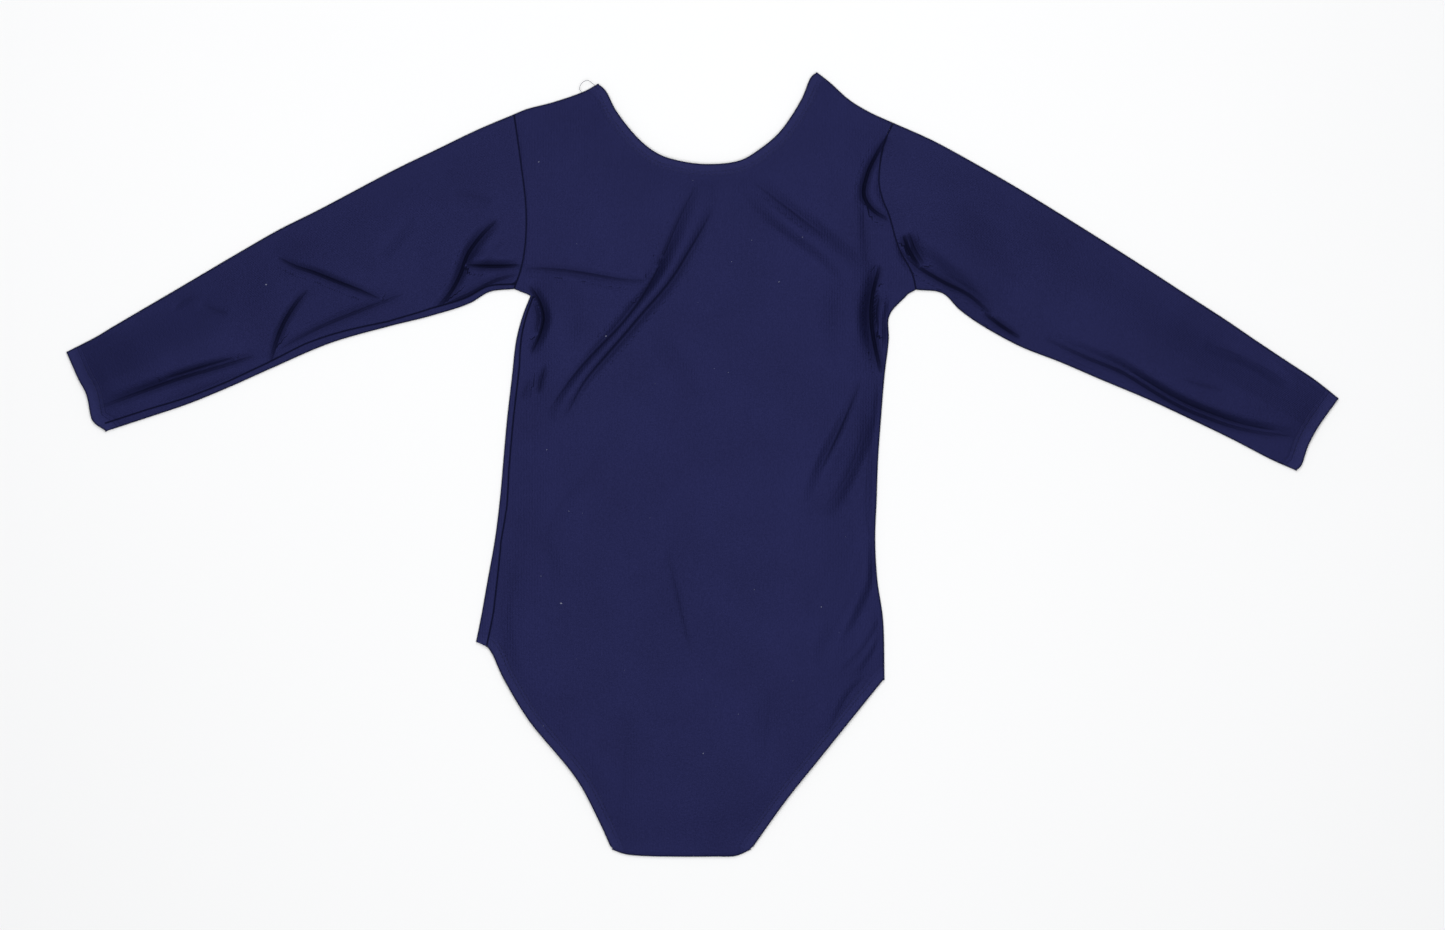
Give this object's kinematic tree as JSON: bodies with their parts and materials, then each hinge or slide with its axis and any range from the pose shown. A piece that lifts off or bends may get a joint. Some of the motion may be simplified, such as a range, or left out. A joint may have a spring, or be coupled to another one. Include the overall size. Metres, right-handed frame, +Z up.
{
  "type": "child's long-sleeved leotard laid flat",
  "caption": "Child's long-sleeved stretch leotard with a deep scoop neck and high-cut legs, laid flat and face up.",
  "frame": {"origin": "centre of the garment's footprint, on the surface it lies on", "axes": "+X across the garment towards the wearer's left sleeve, +Y from crotch to neck, +Z up from the surface"},
  "size_m": [0.891, 0.5494, 0.0071],
  "materials": {
    "navy_tricot": "satin navy nylon and elastane tricot with fine lengthwise ribs"
  },
  "bodies": {
    "root": {"front_panel": "navy_tricot", "back_panel": "navy_tricot", "sleeve_right": "navy_tricot", "sleeve_left": "navy_tricot"}
  },
  "joints": []
}
